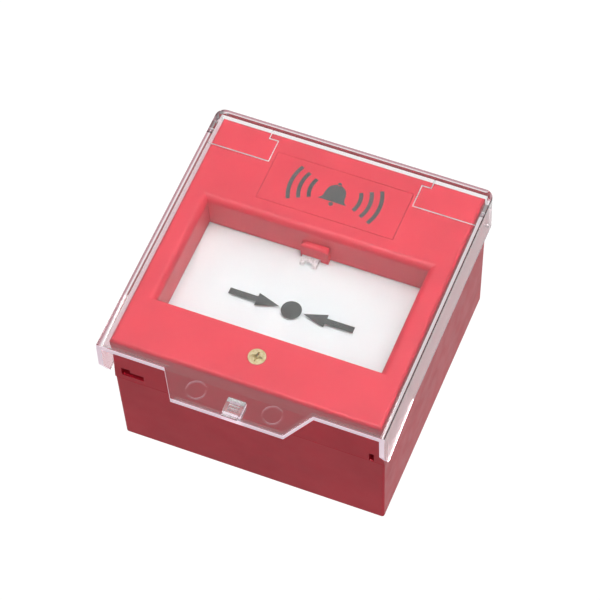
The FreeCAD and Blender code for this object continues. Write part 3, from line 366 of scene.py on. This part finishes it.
def cover_places(clear):
    """Masks of the places on the lid that look different from its plain sheet."""
    rim_top = TAB_ROOT + 0.3 * MM
    foot_top = TAB_ROOT + 4.0 * MM
    flange_start = 3.5 * MM
    outer_top = 1.0 * MM
    outer_left = 0.9 * MM
    lines_bottom = 30.0 * MM
    line_start = COVER_SHEET + 0.13 * MM
    line_end = COVER_SHEET + 0.40 * MM
    line_gap = 0.2 * MM

    low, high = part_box("clear_cover")
    inner_side = high.x - COVER_WALL
    inner_top = high.z - COVER_WALL
    height = clear.axis(clear.point, "Z")
    across = clear.axis(clear.point, "X")
    off_middle = clear.maths("ABSOLUTE", across)
    behind = clear.maths("SUBTRACT", clear.axis(clear.point, "Y"), low.y)
    in_flange = clear.above(off_middle, inner_side)
    in_top = clear.above(height, inner_top)

    normal = clear.coordinate("Normal")
    backwards = clear.axis(normal, "Y")
    faces_front = clear.facing(clear.maths("MULTIPLY", backwards, -1.0))
    faces_along = clear.facing(clear.maths("ABSOLUTE", backwards))
    faces_side = clear.facing(clear.maths("ABSOLUTE", clear.axis(normal, "X")))

    rim = clear.both(clear.outside(faces_along), clear.under(behind, COVER_SHEET))
    rim = clear.both(rim, clear.under(height, rim_top))
    foot = clear.both(clear.outside(faces_side), clear.outside(faces_front))
    foot = clear.both(foot, clear.both(in_flange, clear.under(height, foot_top)))

    line = clear.both(clear.above(behind, line_start), clear.under(behind, line_end))
    line = clear.both(line, clear.above(height, lines_bottom))
    line = clear.both(line, clear.under(height, inner_top - line_gap))
    line = clear.both(line, clear.under(off_middle, inner_side - line_gap))

    # Masks for the painted reflection: the outermost top and left strip of the front, and the
    # flanges' side faces.
    outermost = clear.either(clear.above(height, high.z - outer_top),
                             clear.under(across, low.x + outer_left))
    flange = clear.both(clear.both(in_flange, faces_side), clear.above(behind, flange_start))
    # Edge carries a painted glow; border, outer border and flange carry a painted reflection of
    # the red body.
    return {
        "edge": clear.either(rim, foot),
        "line": line,
        "border": clear.both(faces_front, clear.either(in_flange, in_top)),
        "outer border": clear.both(faces_front, outermost),
        "flange": flange,
    }


def cover_plastic():
    """Polished clear polycarbonate with the faint waves of moulding and a few rubbed spots.

    The narrow faces along its lower outline are matt, and carry a painted glow: an emission and
    a pale pink colour stand in for the light that the sheet carries to them. The moulded corner
    lines are matt too. The flanges, and the front where a flange or the top wall stands behind
    it, carry a painted pink reflection of the red body, darker along the outermost top and left
    edges.
    """
    clear = MaskedSurface("clear_polycarbonate", IOR=1.49, Emission_Strength=1.0)
    places = cover_places(clear)
    # Painted reflection: pink and mauve stand in for the red body seen in the sheet where a flange
    # or the top wall stands behind the front, darker mauve along the outermost top and left edges,
    # and pink on the flanges.
    tint = clear.mix(places["border"], (0.975, 0.98, 0.982), (0.86, 0.78, 0.81))
    tint = clear.mix(places["outer border"], tint, (0.50, 0.26, 0.30))
    tint = clear.mix(places["flange"], tint, (0.98, 0.72, 0.78))
    # Painted glow: the lower end faces take a pale pink colour for the light the sheet carries to
    # them.
    tint = clear.mix(places["edge"], tint, (0.86, 0.74, 0.79))
    clear.feed(tint, "Base Color")
    # Painted glow: this emission on the lower end faces stands in for light carried through the
    # sheet.
    clear.feed(clear.mix(places["edge"], (0.0, 0.0, 0.0), (0.40, 0.30, 0.36)), "Emission Color")

    matt = clear.either(places["edge"], places["line"])
    rubbed = clear.spread(clear.noise(9 * MM, 5.0), 0.45, 0.75, 0.015, 0.045)
    clear.feed(clear.maths("ADD", rubbed, clear.maths("MULTIPLY", matt, 0.30)), "Roughness")
    clear.feed(clear.outside(clear.maths("MULTIPLY", matt, 0.60)), "Transmission Weight")
    clear.bump(clear.noise(18 * MM, 1.0), 0.02 * MM)
    return clear.material


def metal(name, dark, light, roughness, stretch):
    """Plated metal with fine drawn lines, longer where stretch is larger."""
    plated = Surface(name, Metallic=1.0)
    plated.mottle(1.5 * MM, 4.0, dark, light)
    lines = plated.noise(0.25 * MM, 3.0, stretch)
    plated.vary("Roughness", lines, roughness - 0.07, roughness + 0.09)
    plated.bump(lines, 0.003 * MM)
    return plated.material


def bright_steel():
    return metal("bright_zinc_steel", (0.55, 0.56, 0.57), (0.68, 0.69, 0.70), 0.28, (8, 1, 1))


def brass():
    return metal("turned_brass", (0.66, 0.46, 0.18), (0.80, 0.60, 0.28), 0.30, (1, 8, 1))


def yellow_zinc():
    """Yellow-passivated zinc on a pressed screw head: turned rings and patchy tint."""
    ring_pitch = 0.3 * MM
    low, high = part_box("bezel_screw")
    zinc = Surface("yellow_zinc", Metallic=1.0)
    zinc.mottle(0.9 * MM, 4.0, (0.60, 0.47, 0.22), (0.80, 0.70, 0.44))
    zinc.vary("Roughness", zinc.noise(0.3 * MM, 3.0), 0.28, 0.46)

    from_centre = zinc.vector_maths("SUBTRACT", zinc.point, (low + high) / 2)
    on_face = zinc.vector_maths("MULTIPLY", from_centre.outputs["Vector"], (1, 0, 1))
    radius = zinc.vector_maths("LENGTH", on_face.outputs["Vector"]).outputs["Value"]
    rings = zinc.maths("SINE", zinc.maths("MULTIPLY", radius, 2 * math.pi / ring_pitch))
    zinc.bump(rings, 0.004 * MM)
    zinc.bump(zinc.noise(0.4 * MM), 0.01 * MM)
    return zinc.material


def board_laminate():
    """Green solder mask over copper tracks, with the glass weave showing through."""
    track_length = 7.6 * MM
    track_pitch = 2.54 * MM
    track_width = 0.25 * MM
    board = Surface("board_laminate", Roughness=0.32)
    tracks = board.node("ShaderNodeTexBrick", offset=0.5)
    tracks.inputs["Scale"].default_value = 1.0
    tracks.inputs["Brick Width"].default_value = track_length
    tracks.inputs["Row Height"].default_value = track_pitch
    tracks.inputs["Mortar Size"].default_value = track_width
    upright = board.node("ShaderNodeCombineXYZ")
    board.link(board.axis(board.point, "X"), upright.inputs["X"])
    board.link(board.axis(board.point, "Z"), upright.inputs["Y"])
    board.link(upright.outputs["Vector"], tracks.inputs["Vector"])
    copper = tracks.outputs["Fac"]
    weave = board.noise(0.5 * MM, 2.0, (3, 1, 1))
    mask = board.mix(weave, (0.012, 0.12, 0.045), (0.018, 0.16, 0.06))
    board.feed(board.mix(copper, mask, (0.05, 0.30, 0.10)), "Base Color")
    board.bump(copper, 0.03 * MM)
    board.bump(weave, 0.006 * MM)
    return board.material


def resistor_coat():
    """Pale blue lacquer with brown bands at an even pitch, on the bodies and on their leads."""
    band_pitch = 1.6 * MM
    low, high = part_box("resistors")
    middle = (low.z + high.z) / 2
    coat = Surface("resistor_coat", Roughness=0.35)
    along = coat.maths("ABSOLUTE", coat.maths("SUBTRACT", coat.axis(coat.point, "Z"), middle))
    share = coat.maths("FRACT", coat.maths("DIVIDE", along, band_pitch))
    painted = coat.spread(share, 0.62, 0.66)
    coat.feed(coat.mix(painted, (0.45, 0.55, 0.58), (0.30, 0.09, 0.03)), "Base Color")
    coat.bump(coat.noise(0.4 * MM), 0.01 * MM)
    return coat.material


SLOT_MATERIALS = {
    "red_plastic": red_plastic,
    "white_plastic": white_plastic,
    "black_plastic": black_plastic,
    "grey_plastic": grey_plastic,
    "button_plastic": button_plastic,
    "terminal_plastic": terminal_plastic,
    "clear_plastic": clear_plastic,
    "yellow_zinc": yellow_zinc,
    "steel": bright_steel,
    "brass": brass,
    "board_laminate": board_laminate,
    "resistor_coat": resistor_coat,
}


def dress_nodes(nodes, subparts, made):
    """Gives every CAD node the material of its slot, then the flag and the lid their own."""
    for part in subparts:
        mesh = nodes[part["node"]].data
        mesh.materials.clear()
        mesh.materials.append(made[part["material_slot"]])
    nodes["status_flag"].data.materials[0] = milky_plastic()
    nodes["clear_cover"].data.materials[0] = cover_plastic()


# ---------------------------------------------------------------- prints

def flat_print(name, outlines, face_y, material, body):
    """Thin print on a face square to Y. Each outline is a list of (x, z, sharp) in millimetres."""
    data = bpy.data.curves.new(name, "CURVE")
    data.dimensions = "2D"
    data.fill_mode = "BOTH"
    data.resolution_u = PRINT_STEPS
    data.extrude = PRINT_THICKNESS / 2
    for outline in outlines:
        spline = data.splines.new("BEZIER")
        spline.bezier_points.add(len(outline) - 1)
        spline.use_cyclic_u = True
        for point, (x, z, sharp) in zip(spline.bezier_points, outline):
            handle = "VECTOR" if sharp else "AUTO"
            point.co = (x * MM, z * MM, 0)
            point.handle_left_type = handle
            point.handle_right_type = handle
    flat = add_object(name + "_outline", data)
    bpy.context.view_layer.update()
    mesh = bpy.data.meshes.new_from_object(flat)
    bpy.data.objects.remove(flat)
    for vertex in mesh.vertices:
        x, z, out = vertex.co
        vertex.co = (x, face_y - PRINT_THICKNESS / 2 - out, z)
    mesh.materials.clear()
    mesh.materials.append(material)
    piece = add_object(name, mesh)
    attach(piece, body)


def ring_outline(x, z, radius):
    """A round outline of four smooth points."""
    turns = [math.pi / 2 * i for i in range(4)]
    return [(x + radius * math.cos(a), z + radius * math.sin(a), False) for a in turns]


def plate_print(material):
    """The dot and the two arrows that show where to press."""
    dot_height = -8.4
    dot_radius = 3.2
    tail, neck, tip = 20.2, 11.2, 3.9
    shaft, barb = 1.05, 2.35
    arrow = [(tail, -shaft), (neck, -shaft), (neck, -barb), (tip, 0),
             (neck, barb), (neck, shaft), (tail, shaft)]
    outlines = [ring_outline(0, dot_height, dot_radius)]
    for side in (-1, 1):
        outlines.append([(side * x, dot_height + z, True) for x, z in arrow])
    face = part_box("press_plate")[0].y
    flat_print("plate_print", outlines, face, material, "plate")


def bell_outline():
    """A bell: its right half from the lip up to the crown, and the same mirrored."""
    right = [(4.7, -2.7, True), (3.6, -1.5, False), (3.3, 0.4, False), (2.6, 2.4, False),
             (1.0, 3.6, False)]
    crown = (0.0, 3.8, False)
    left = [(-x, z, sharp) for x, z, sharp in right]
    return [*left, crown, *reversed(right)]


def arc_band(radius, width, half_angle, way):
    """Outline of a curved bar that bulges to the right (way 1) or to the left (way -1)."""
    steps = 6
    turns = [half_angle * (2 * i / steps - 1) for i in range(steps + 1)]
    outer = [(radius + width / 2, turn) for turn in turns]
    inner = [(radius - width / 2, turn) for turn in reversed(turns)]
    band = []
    for side in (outer, inner):
        for i, (reach, turn) in enumerate(side):
            at_end = i in (0, steps)
            band.append((way * reach * math.cos(turn), reach * math.sin(turn), at_end))
    return band


def panel_print(material):
    """A plain pictogram in place of words: a bell with sound arcs on both sides."""
    middle = 27.9
    arc_radii = (8.0, 11.2, 14.4)
    arc_width = 1.3
    arc_half_angle = math.radians(26)
    clapper = ring_outline(0, -3.6, 0.75)
    knob = ring_outline(0, 4.1, 0.65)
    shapes = [bell_outline(), clapper, knob]
    for way in (-1, 1):
        for radius in arc_radii:
            shapes.append(arc_band(radius, arc_width, arc_half_angle, way))
    outlines = [[(x, z + middle, sharp) for x, z, sharp in shape] for shape in shapes]
    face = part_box("legend_panel")[0].y
    flat_print("panel_print", outlines, face, material, "root")


# ---------------------------------------------------------------- springs

def helix(foot, span, axis, radius, turns, wire):
    """Points of a coil spring that fills span from foot along axis, its end turns laid flat.

    Radius is the coil's, to the middle of the wire, and wire is the wire's own radius.
    """
    steps = 28
    flat_turns = 1.0
    across = X_AXIS
    other = axis.cross(across)
    length = span - 2 * wire
    points = []
    for i in range(int(turns * steps) + 1):
        turn = i / steps
        if turn < flat_turns:
            rise = wire * turn / flat_turns
        elif turn > turns - flat_turns:
            rise = length - wire * (turns - turn) / flat_turns
        else:
            share = (turn - flat_turns) / (turns - 2 * flat_turns)
            rise = wire + share * (length - 2 * wire)
        angle = 2 * math.pi * turn
        offset = across * math.cos(angle) + other * math.sin(angle)
        points.append(foot + axis * (wire + rise) + offset * radius)
    return points


def wire_piece(name, path, radius, sides, material):
    """A closed round wire of given radius along a list of points."""
    work = bmesh.new()
    rings = []
    across = None
    for i, point in enumerate(path):
        along = path[min(i + 1, len(path) - 1)] - path[max(i - 1, 0)]
        along.normalize()
        if across is None:
            across = along.orthogonal().normalized()
        across = (across - along * across.dot(along)).normalized()
        other = along.cross(across)
        ring = []
        for k in range(sides):
            turn = 2 * math.pi * k / sides
            offset = across * math.cos(turn) + other * math.sin(turn)
            ring.append(work.verts.new(point + offset * radius))
        rings.append(ring)
    for first, second in zip(rings, rings[1:]):
        for k in range(sides):
            after = (k + 1) % sides
            work.faces.new((first[k], first[after], second[after], second[k]))
    work.faces.new(list(reversed(rings[0])))
    work.faces.new(rings[-1])
    for face in work.faces:
        face.smooth = True
    mesh = bpy.data.meshes.new(name)
    work.to_mesh(mesh)
    work.free()
    mesh.materials.append(material)
    return add_object(name, mesh)


def plate_springs(material):
    """Two compression springs between the chassis and the plate."""
    low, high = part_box("plate_springs")
    wire = 0.30 * MM
    turns = 5.5
    outer = (high.z - low.z) / 2
    height = (low.z + high.z) / 2
    away = Vector((0, -1, 0))
    for side, name in ((-1, "plate_spring_left"), (1, "plate_spring_right")):
        foot = Vector((side * (high.x - outer), high.y, height))
        path = helix(foot, high.y - low.y, away, outer - wire, turns, wire)
        piece = wire_piece(name, path, wire, 10, material)
        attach(piece, "root")
        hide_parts("plate_springs")
        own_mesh(piece)


def latch_spring(material):
    """The extension spring that pulls the latch down once the plate has let go."""
    low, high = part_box("latch_spring")
    wire = 0.20 * MM
    turns = 17
    outer = (high.x - low.x) / 2
    foot = Vector(((low.x + high.x) / 2, (low.y + high.y) / 2, low.z))
    path = helix(foot, high.z - low.z, Z_AXIS, outer - wire, turns, wire)
    piece = wire_piece("latch_coil", path, wire, 8, material)
    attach(piece, "root")
    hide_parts("latch_spring")
    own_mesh(piece)


# ---------------------------------------------------------------- the scene

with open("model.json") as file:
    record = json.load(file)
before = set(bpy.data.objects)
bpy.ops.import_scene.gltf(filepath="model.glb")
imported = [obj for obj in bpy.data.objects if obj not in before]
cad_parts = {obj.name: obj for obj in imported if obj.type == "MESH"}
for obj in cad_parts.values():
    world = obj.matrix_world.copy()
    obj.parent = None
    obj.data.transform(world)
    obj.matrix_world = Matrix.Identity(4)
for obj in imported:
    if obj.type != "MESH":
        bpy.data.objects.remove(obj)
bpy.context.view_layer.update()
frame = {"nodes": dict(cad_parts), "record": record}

make_camera()
make_world()
make_key_light()
make_floor()
bpy.context.scene.view_settings.view_transform = "Standard"

materials = {slot: maker() for slot, maker in SLOT_MATERIALS.items()}
dress_nodes(frame["nodes"], frame["record"]["subparts"], materials)
print_ink = ink()
plate_print(print_ink)
panel_print(print_ink)
plate_springs(materials["steel"])
latch_spring(materials["steel"])
